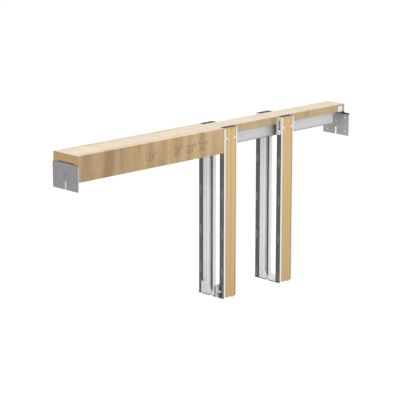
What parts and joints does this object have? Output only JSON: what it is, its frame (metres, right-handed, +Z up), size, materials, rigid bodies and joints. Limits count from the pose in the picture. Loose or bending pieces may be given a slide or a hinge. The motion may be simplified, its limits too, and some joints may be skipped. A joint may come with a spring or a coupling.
{
  "type": "pocket door frame",
  "caption": "Frame for a sliding pocket door: timber header with a track, end brackets and steel-wrapped split studs on floor plates.",
  "frame": {"origin": "on the floor under the middle of the frame's bounding box", "axes": "+X along the header from the door opening into the pocket, +Y to the back of the wall, +Z up"},
  "size_m": [0.932, 0.0908, 0.434],
  "materials": {
    "header_wood": "planed softwood",
    "nailer_wood": "planed softwood",
    "stud_wood": "planed softwood",
    "stud_steel": "galvanised",
    "hanger_steel": "galvanised",
    "bracket_steel": "galvanised",
    "plate_steel": "galvanised",
    "guide_steel": "galvanised",
    "zinc_screws": "galvanised",
    "cap_dark": "dark coated plate",
    "track_aluminium": "mill-finish extrusion"
  },
  "bodies": {
    "root": {"header_core": "header_wood", "front_nailer": "nailer_wood", "back_nailer": "nailer_wood", "track": "track_aluminium", "track_screws": "zinc_screws", "bracket_screws": "zinc_screws", "left_end_bracket": "bracket_steel", "right_end_bracket": "bracket_steel", "mouth_floor_plate": "plate_steel", "pocket_floor_plate": "plate_steel", "front_door_guide": "guide_steel", "back_door_guide": "guide_steel", "front_guide_screw": "zinc_screws", "back_guide_screw": "zinc_screws", "front_mouth_stud_steel": "stud_steel", "front_mouth_stud_board": "stud_wood", "front_mouth_hanger": "hanger_steel", "front_mouth_stud_cap": "cap_dark", "front_mouth_stud_screws": "zinc_screws", "front_pocket_stud_steel": "stud_steel", "front_pocket_stud_board": "stud_wood", "front_pocket_hanger": "hanger_steel", "front_pocket_stud_cap": "cap_dark", "front_pocket_stud_screws": "zinc_screws", "back_mouth_stud_steel": "stud_steel", "back_mouth_stud_board": "stud_wood", "back_mouth_hanger": "hanger_steel", "back_mouth_stud_cap": "cap_dark", "back_mouth_stud_screws": "zinc_screws", "back_pocket_stud_steel": "stud_steel", "back_pocket_stud_board": "stud_wood", "back_pocket_hanger": "hanger_steel", "back_pocket_stud_cap": "cap_dark", "back_pocket_stud_screws": "zinc_screws"}
  },
  "joints": []
}
